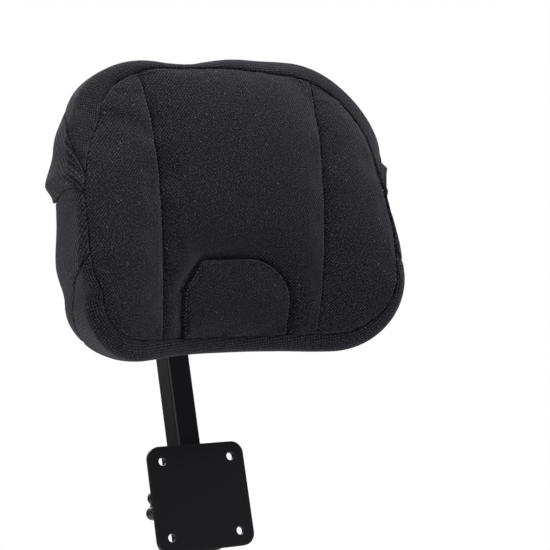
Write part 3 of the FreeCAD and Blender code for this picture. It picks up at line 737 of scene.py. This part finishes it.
def wall_panel(name, from_s, to_s, count, material, nodes, seed, depth=SEAM_SINK, press=None):
    """A panel of the side wall between two seams across it; press says how far it is pushed in."""
    t, u = crowded(84, 0.85), crowded(count, 0.85)
    s = from_s(t)[None] + (to_s(t) - from_s(t))[None] * u[:, None]
    grid = side_wall(s, t[None])
    fine = np.linspace(0, 1, 500)
    lines = [side_wall(seam(fine), fine) for seam in (from_s, to_s)]
    for edge in (0.0, 1.0):
        start, end = from_s(np.array([edge])), to_s(np.array([edge]))
        lines.append(side_wall(start + (end - start) * fine, edge))
    face = sunk(grid, lines, depth, seed)
    if press is not None:
        face = face - outward(grid, normals(grid)) * press(s, t[None])[..., None]
    inner = face - outward(face, normals(face)) * WALL_T
    face = swollen(face, inner, WALL_SWELL)
    weave = np.stack([s * PERIMETER, travelled(grid, 1)], -1)
    shell(name, face, inner, weave, material, nodes)


def under_hood(s, t):
    """How far the side wall is pressed in where the hood lies over it."""
    at = np.where(s > 0.5, 1 - s, s)
    return HOOD_PRESS * smooth((hem_line(np.broadcast_to(t, s.shape)) + 0.0028 - at) / 0.006)


wall_panel("top_band_cover", upper_seam, lambda t: -upper_seam(t), 330, BAND_KNIT,
           ("top_band",), 21, depth=0.8)
wall_panel("bottom_band_cover", lower_seam, mirrored(lower_seam), 300, BAND_KNIT,
           ("bottom_band", "foam_block"), 22)
wall_panel("side_wall_right", wall_top, lower_seam, 110, WALL_KNIT, (), 23, press=under_hood)
wall_panel("side_wall_left", mirrored(wall_top), mirrored(lower_seam), 110, WALL_KNIT,
           (), 24, press=under_hood)

# ---- hood over the upper back ------------------------------------------------------------
HOOD_T = 2.4                # thickness of the hood's cover
WINDOW_HALF, WINDOW_TOP = 59.0, 44.0
WINDOW_CORNER = 16.0
HOOD_HIGH = 0.0213          # how much higher its hem is on the left, as a share of the way round
HOOD_STAND = 4.2            # how far its lower edge stands off the pad's back
HEM_BEND = 0.17             # share of its height over which the hem turns in
# over t: how far the hem and the fullness above it stand off the side wall
HOOD_LIP = [(0, 0), (0.08, 1.3), (0.3, 1.8), (0.42, 2.4), (0.52, 2.8), (0.62, 2.6), (0.75, 2.6), (1, 3.0)]
HOOD_SWELL = [(0, 0.6), (0.2, 2.6), (0.35, 5.4), (0.5, 8.4), (0.64, 9.2), (0.8, 7.0), (1, 4.6)]
hood_rows = crowded(90, 0.8)
rear_edge = side_wall(np.linspace(0, 1, 900), 1.0)[:, [0, 2]]


def back_y(x, z):
    """Depth of the pad's back: nearly flat, rounded down towards the rear seam."""
    d, _ = distance(np.stack([x, z], -1), rear_edge)
    return REAR_Y + 1.6 * (1 - np.exp(-d / 14.0))


def softened(pairs, t, scale):
    """A table over t, scaled, with its corners rounded off."""
    kernel = np.hanning(9) / np.hanning(9).sum()
    return np.convolve(np.pad(scale * np.interp(t, *zip(*pairs)), 4, mode="edge"), kernel, "valid")


def hood_side(side):
    """The part of the hood that lies over the side wall, from the front seam to the rear seam."""
    t = 1 - (1 - np.linspace(0, 1, 90)) ** 1.15
    hem = hem_line(t) - (HOOD_HIGH if side > 0 else 0.0) * smooth(t / 0.35)
    s = hem[:, None] + (upper_seam(t) - hem)[:, None] * hood_rows[None]
    wall = side_wall(s if side < 0 else 1 - s, t[:, None])
    lip = softened(HOOD_LIP, t, 0.9 if side > 0 else 1.0)[:, None]
    swell = softened(HOOD_SWELL, t, 0.92 if side > 0 else 1.0)[:, None]
    r = hood_rows[None]
    risen = smooth(r / HEM_BEND)
    lift = swell * (risen * (1 - smooth((r - 0.11) / 0.36))) + lip * (1 - risen)
    grid = wall + outward(wall, normals(wall)) * lift[..., None]
    return grid if side < 0 else grid[::-1]


def hood_back(right_edge, left_edge):
    """The part of the hood over the pad's back, between the edges of its sides."""
    right_hem, left_hem = right_edge[0], left_edge[0]
    low = rounded([(right_hem[0], right_hem[2], 0), (-WINDOW_HALF, right_hem[2] + 6, 9),
                   (-WINDOW_HALF, WINDOW_TOP, WINDOW_CORNER), (WINDOW_HALF, WINDOW_TOP, WINDOW_CORNER),
                   (WINDOW_HALF, left_hem[2] - 3, 9), (left_hem[0], left_hem[2], 0)], False)
    high = side_wall(np.linspace(upper_seam(1.0), -upper_seam(1.0), 500), 1.0)[:, [0, 2]]
    share_low, share_high = fractions(low)[0], fractions(high)[0]
    before, after = WINDOW_HALF + 0.5, WINDOW_HALF - WINDOW_CORNER
    rising = [share_low[np.argmax(low[:, 0] > x)] for x in (-before, -after)]
    falling = [share_low[len(low) - 1 - np.argmax(low[::-1, 0] < x)] for x in (after, before)]
    knots_low = [0.0] + rising + falling + [1.0]
    knots_high = [0.0] + [np.interp(x, high[:, 0], share_high) for x in (-68.0, -36.0, 36.0, 68.0)] + [1.0]
    u = np.linspace(0, 1, 261)
    key = np.array([0, 0.2, 0.37, 0.63, 0.8, 1])
    low = resampled(low, np.interp(u, key, knots_low))
    high = resampled(high, np.interp(u, key, knots_high))
    r, q = hood_rows[None, :, None], u[:, None, None]
    flat = (1 - q) * (1 - r) * low[0] + q * (1 - r) * low[-1] + (1 - q) * r * high[0] + q * r * high[-1]
    across = (1 - q) * right_edge[:, [0, 2]][None] + q * left_edge[:, [0, 2]][None]
    xz = (1 - r) * low[:, None] + r * high[:, None] + across - flat
    y = back_y(xz[..., 0], xz[..., 1])
    ease_in = np.minimum(smooth(u / 0.12), smooth((1 - u) / 0.12))[:, None]
    start = ((1 - u)[:, None] * (right_edge[:, 1] - y[0])[None]
             + u[:, None] * (left_edge[:, 1] - y[-1])[None])
    stand = HOOD_STAND * (1 - smooth((xz[..., 1] - 34) / 40))
    return np.stack([xz[..., 0], y + start * (1 - ease_in) + stand * ease_in, xz[..., 1]], -1)


right_part, left_part = hood_side(-1), hood_side(1)
hood = np.concatenate([right_part, hood_back(right_part[-1], left_part[0])[1:-1], left_part])
run, climb = travelled(hood, 0), travelled(hood, 1)
hood_seams = [resampled(line, np.linspace(0, 1, number))
              for line, number in ((hood[:, -1], 900), (hood[0], 60), (hood[-1], 60))]
hood_face = sunk(hood, hood_seams, seed=31)
hood_out = outward(hood_face, normals(hood_face))
hood_inside = hood_face - hood_out * HOOD_T
off_edge = unit(hood_face[:, 0] - hood_face[:, 2])


def hem_round(degrees):
    """Rows that carry the hood's hem round from its face (0 degrees) to its inside (180)."""
    a = np.radians(degrees)[None, :, None]
    middle = hood_face[:, 0] - hood_out[:, 0] * HOOD_T / 2
    return middle[:, None] + HOOD_T / 2 * (np.cos(a) * hood_out[:, :1] + np.sin(a) * off_edge[:, None])


hem_face, hem_inside = (hem_round(np.array(turns)) for turns in ((88.0, 66, 44, 22), (92.0, 114, 136, 158)))
rolled = np.broadcast_to(np.linspace(-1.9, -0.4, 4), (len(run), 4))
hood_weave = np.stack([np.hstack([np.repeat(run[:, :1], 4, 1), run]), np.hstack([rolled, climb])], -1)
shell("hood_cover", np.concatenate([hem_face, hood_face], 1), np.concatenate([hem_inside, hood_inside], 1),
      hood_weave, WALL_KNIT, ("rear_hood",))

# ---- rear flap under the hood ------------------------------------------------------------
window_line = rounded([(-WINDOW_HALF, -WINDOW_TOP, WINDOW_CORNER), (WINDOW_HALF, -WINDOW_TOP, WINDOW_CORNER),
                       (WINDOW_HALF, WINDOW_TOP, WINDOW_CORNER), (-WINDOW_HALF, WINDOW_TOP, WINDOW_CORNER)],
                      True)


def polar_radius(line, angles, centre):
    """How far a closed line is from centre at given angles."""
    d = line - centre
    a, r = np.arctan2(d[:, 1], d[:, 0]), np.linalg.norm(d, axis=1)
    order = np.argsort(a)
    return np.interp(angles, a[order], r[order], period=2 * math.pi)


def rear_flap():
    """The lower back: a ring of cover from the window round the bracket out to the rear seam."""
    centre = np.array([0.0, -12.0])
    lower = side_wall(np.linspace(wall_top(1.0), 1 - wall_top(1.0), 900), 1.0)[:, [0, 2]]
    top = np.stack([np.linspace(lower[-1, 0], lower[0, 0], 300), np.full(300, lower[0, 1])], -1)
    edge = np.vstack([lower, top[1:-1]])
    angles = np.linspace(-math.pi, math.pi, 420, endpoint=False)
    inner = polar_radius(window_line, angles, centre)
    outer = np.maximum(polar_radius(edge, angles, centre), inner + 0.5)
    radius = inner[:, None] + (outer - inner)[:, None] * crowded(60, 0.7)[None]
    xz = centre + radius[..., None] * np.stack([np.cos(angles), np.sin(angles)], -1)[:, None]
    y = back_y(xz[..., 0], xz[..., 1])
    for line, drop, roll, seed in ((window_line, 2.0, 5.0, 41), (edge, SEAM_SINK, 4.5, 42)):
        d, place = distance(xz, line)
        y = y - drop * (1 - rise(d, roll)) + gather(place, seed, 0.15) * np.exp(-d / 9.0)
    face = np.stack([xz[..., 0], y, xz[..., 1]], -1)
    shell("flap_cover", face, face - [0.0, WALL_T, 0.0], xz, REAR_KNIT, ("rear_flap",),
          closed_u=True)


rear_flap()

# ---- bindings, strips and stitches -------------------------------------------------------
STITCH_LENGTH, STITCH_RADIUS, STITCH_LIFT = 2.3, 0.42, 0.1
STITCH_IN = 1.5             # how far a row of stitches lies beside its seam


def binding(name, line, normal, width, thick, nodes=(), closed=False):
    """A flat rounded tape that lies along a line, facing along normal."""
    tangent = np.roll(line, -1, 0) - np.roll(line, 1, 0) if closed else np.gradient(line, axis=0)
    across = unit(np.cross(unit(tangent), normal))
    a = np.linspace(0, 2 * math.pi, 16, endpoint=False)
    c, h = (np.sign(f) * np.abs(f) ** 0.6 * size / 2 for f, size in ((np.cos(a), width), (np.sin(a), thick)))
    grid = line[:, None] + across[:, None] * c[None, :, None] + normal[:, None] * h[None, :, None]
    index = np.arange(len(line) * len(a)).reshape(len(line), len(a))
    index = np.hstack([index, index[:, :1]])
    if closed:
        index = np.vstack([index, index[:1]])
    faces = quads_of(index).tolist()
    if not closed:
        faces += [index[0, :-1].tolist()[::-1], index[-1, :-1].tolist()]
    length = fractions(line)[0] * fractions(line)[1]
    weave = np.stack(np.broadcast_arrays(length[:, None], (a * width / 3)[None]), -1).reshape(-1, 2)
    obj = mesh_object(name, to_row(grid.reshape(-1, 3)), faces, TAPE, weave)
    bm = bmesh.new()
    bm.from_mesh(obj.data)
    bmesh.ops.recalc_face_normals(bm, faces=bm.faces)
    bm.to_mesh(obj.data)
    bm.free()
    on_pad(obj, nodes)


def stitches(name, line, normal, pitch=3.2):
    """A row of thread stitches along a line: short bowed strands that dip in at both ends."""
    share, total = fractions(line)
    count, sides = int(total / pitch), 6
    bow = np.linspace(-1, 1, 5)
    places = (np.arange(count) + 0.5)[:, None] * pitch + bow[None] * STITCH_LENGTH / 2
    at, up = (np.stack([np.interp(places / total, share, values[:, k]) for k in range(3)], -1)
              for values in (line, normal))
    up = unit(up)
    across = np.cross(unit(np.gradient(at, axis=1)), up)
    at = at + up * (STITCH_LIFT - 0.5 * bow[None, :, None] ** 4)
    a = np.linspace(0, 2 * math.pi, sides, endpoint=False)
    thin = (1 - 0.55 * bow ** 4)[None, :, None, None] * STITCH_RADIUS
    cos, sin = (f(a)[None, None, :, None] for f in (np.cos, np.sin))
    ring = across[:, :, None] * cos + up[:, :, None] * sin
    points = (at[:, :, None] + ring * thin).reshape(-1, 3)
    index = np.arange(len(points)).reshape(count, len(bow), sides)
    index = np.concatenate([index, index[:, :, :1]], 2)
    faces = np.concatenate([quads_of(strand) for strand in index]).tolist()
    for strand in index:
        faces += [strand[0, :-1].tolist()[::-1], strand[-1, :-1].tolist()]
    on_pad(mesh_object(name, to_row(points), faces, THREAD))


def front_surface(piece, xz):
    """Depth and normal of a piece's front at x and z, seen from the front; nan where it is missed."""
    ahead_of, reach = -60.0, 0.2
    tree = BVHTree.FromObject(PIECES[piece], bpy.context.evaluated_depsgraph_get())
    way = Vector(turned([0.0, 1.0, 0.0]))
    depths, ups = [], []
    for start in to_row(np.stack([xz[:, 0], np.full(len(xz), ahead_of), xz[:, 1]], -1)):
        hit, normal, _, far = tree.ray_cast(Vector(start), way, reach)
        depths.append(ahead_of + far / MM if hit is not None else np.nan)
        ups.append(list(normal if hit is not None else way))
    return np.array(depths), turned(ups, -LEAN)


def seam_stitches(name, xz, piece, **options):
    """Stitches laid on a piece's front along a line in x and z."""
    y, n = front_surface(piece, xz)
    good = ~np.isnan(y)
    n = n[good]
    n[n[:, 1] > 0] *= -1
    stitches(name, np.stack([xz[good, 0], y[good], xz[good, 1]], -1), n, **options)


for side, label, owner in ((-1, "right", "side_cushion_right"), (1, "left", "centre_cushion")):
    seam_stitches("channel_stitches_" + label, channel(side)[8:-8] - [STITCH_IN, 0.0], owner)
edge_x, edge_z = unit(np.gradient(arch_line, axis=0)).T
inside = np.stack([edge_z, -edge_x], -1)
seam_stitches("neck_stitches", (arch_line + inside * STITCH_IN)[12:-12], "neck_cushion", pitch=3.0)

hem = hood_face[:, 0] - hood_out[:, 0] * HOOD_T / 2
back_part = slice(84, -84)
binding("hood_tape", hem[back_part], hood_out[:, 0][back_part], 7.0, HOOD_T + 1.6, ("hood_binding",))
window_points = resampled(window_line, np.linspace(0, 1, 500, endpoint=False))
window_x, window_z = window_points.T
window_rim = np.stack([window_x, back_y(window_x, window_z) - 1.6, window_z], -1)
binding("window_binding", window_rim, np.tile([0.0, 1.0, 0.0], (500, 1)), 5.0, 2.6, closed=True)


def strips(name, lift, node):
    """The hook or loop strips between the flap and the hood, one on each side."""
    for x_middle, label in ((-90, "right"), (90, "left")):
        across = np.linspace(x_middle - 22, x_middle + 22, 45)
        x, z = np.meshgrid(across, np.linspace(11, 31, 21), indexing="ij")
        grid = np.stack([x, back_y(x, z) + lift, z], -1)
        shell(name + "_" + label, grid + [0, 1.0, 0], grid, grid[..., [0, 2]], PILE,
              (node,) if label == "right" else ())


strips("loop_strip", 0.1, "loop_strips")
strips("hook_strip", 1.3, "hook_strips")

# ---- hard parts --------------------------------------------------------------------------
# the edge colours below lighten every edge: part wear, part painted highlight
FINISHES = {
    "black_powder_coat": hard("powder_coat", (0.007, 0.007, 0.009), 0.4, scale=1500, bump=0.35, specular=0.36,
                              edge_wear_and_highlight=(0.05, 0.05, 0.055)),
    "black_anodised": hard("anodised", (0.016, 0.016, 0.019), 0.34, metallic=0.35, scale=700, bump=0.08,
                           stretch=(1, 1, 0.05), edge_wear_and_highlight=(0.2, 0.2, 0.21)),
    "black_plate_steel": hard("plate_steel", (0.013, 0.013, 0.015), 0.45, scale=1300, bump=0.3,
                              edge_wear_and_highlight=(0.06, 0.06, 0.065)),
    "glide_plastic": hard("glide_nylon", (0.02, 0.02, 0.022), 0.5, scale=1100, bump=0.2),
    "washer_plastic": hard("washer_nylon", (0.42, 0.41, 0.38), 0.5, scale=1100, bump=0.15, vary=0.08),
    "knob_plastic": hard("knob_moulded", (0.011, 0.011, 0.012), 0.4, scale=2200, bump=0.45, vary=0.15),
    "brass": hard("brass_turned", (0.72, 0.50, 0.22), 0.3, metallic=1.0, scale=600, bump=0.1, vary=0.1),
    "zinc_steel": hard("zinc_plated", (0.58, 0.59, 0.61), 0.3, metallic=1.0, scale=500, bump=0.1, vary=0.12),
    "plywood": plywood_material(),
}
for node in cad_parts.values():
    for holder in node.material_slots:
        found = holder.material.name.split(".")[0] if holder.material else ""
        if found in FINISHES:
            holder.material = FINISHES[found]

# ---- camera ------------------------------------------------------------------------------
# in the pad's own frame: where it stands and what it looks at
CAMERA_PLACE = np.array([-490.0, -921.0, -103.0])
CAMERA_TARGET = np.array([25.5, 0.0, -56.0])
CAMERA_ROLL = math.radians(-2.1)
camera_data = bpy.data.cameras.new("camera")
camera_data.sensor_width = 36.0
camera_data.lens = 91.6
camera_data.clip_start = 0.01
camera = bpy.data.objects.new("camera", camera_data)
bpy.context.scene.collection.objects.link(camera)
ahead = unit(CAMERA_TARGET - CAMERA_PLACE)
level = unit(np.cross(ahead, (0, 0, 1)))
side_axis = math.cos(CAMERA_ROLL) * level + math.sin(CAMERA_ROLL) * np.cross(level, ahead)
placed = np.eye(4)
placed[:3, :3] = np.array([turned(side_axis), turned(np.cross(side_axis, ahead)), turned(-ahead)]).T
placed[:3, 3] = to_row(CAMERA_PLACE)
camera.matrix_world = Matrix(placed.tolist())
bpy.context.scene.camera = camera


# ---- lights and floor --------------------------------------------------------------------
PAD_MIDDLE = Vector((0.0, -0.10, 0.22))
FLOOR_REACH = 1.5
FLOOR_GAP = 0.0005          # between the lowest part and the floor
# each soft light: its place, its width and height, and its power in watts
SOFT_LIGHTS = {
    "key_top": ((0.2, -0.7, 2.0), (1.4, 1.1), 28.5),
    "key_right": ((1.1, -1.2, 1.3), (1.2, 1.2), 13),
    "left_fill": ((-1.6, -0.6, 0.6), (1.0, 1.4), 11.4),
    "rear_fill": ((0.6, 1.6, 1.2), (1.4, 1.2), 14),
    "rear_left": ((-0.9, 1.5, 1.0), (1.4, 1.2), 2.5),
}
for name, (place, size, power) in SOFT_LIGHTS.items():
    light = bpy.data.lights.new(name, "AREA")
    light.shape = "RECTANGLE"
    light.size, light.size_y = size
    light.energy = power
    obj = bpy.data.objects.new(name, light)
    bpy.context.scene.collection.objects.link(obj)
    obj.rotation_euler = (PAD_MIDDLE - Vector(place)).to_track_quat("-Z", "Y").to_euler()
    obj.location = place

# a faint even light, under a white ground that only the camera sees
world = bpy.data.worlds.new("studio")
bpy.context.scene.world = world
world.use_nodes = True
shade = world.node_tree
sky = shade.nodes["Background"]
sky.inputs["Color"].default_value = (1.0, 1.0, 1.0, 1.0)
sky.inputs["Strength"].default_value = 0.02
bright = shade.nodes.new("ShaderNodeBackground")
bright.inputs["Color"].default_value = (1.0, 1.0, 1.0, 1.0)
bright.inputs["Strength"].default_value = 1.0
seen = shade.nodes.new("ShaderNodeLightPath")
blend = shade.nodes.new("ShaderNodeMixShader")
shade.links.new(seen.outputs["Is Camera Ray"], blend.inputs[0])
shade.links.new(sky.outputs[0], blend.inputs[1])
shade.links.new(bright.outputs[0], blend.inputs[2])
shade.links.new(blend.outputs[0], shade.nodes["World Output"].inputs["Surface"])

lowest = min(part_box(n)[0].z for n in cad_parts)
floor_mesh = bpy.data.meshes.new("floor")
corners = [(x * FLOOR_REACH, y * FLOOR_REACH, 0) for x, y in ((-1, -1), (1, -1), (1, 1), (-1, 1))]
floor_mesh.from_pydata(corners, [], [(0, 1, 2, 3)])
floor = bpy.data.objects.new("floor", floor_mesh)
bpy.context.scene.collection.objects.link(floor)
floor.location = (0, 0, lowest - FLOOR_GAP)
matt = Nodes("floor_pale")
cloud = matt.noise(matt.add("TexCoord").outputs["Object"], 40.0)["Fac"]
matt.set(Base_Color=matt.ramp(cloud, [(0.3, (0.60, 0.61, 0.63)), (0.7, (0.64, 0.65, 0.67))]), Roughness=0.7)
floor_mesh.materials.append(matt.material)

bpy.context.scene.view_settings.view_transform = "Standard"
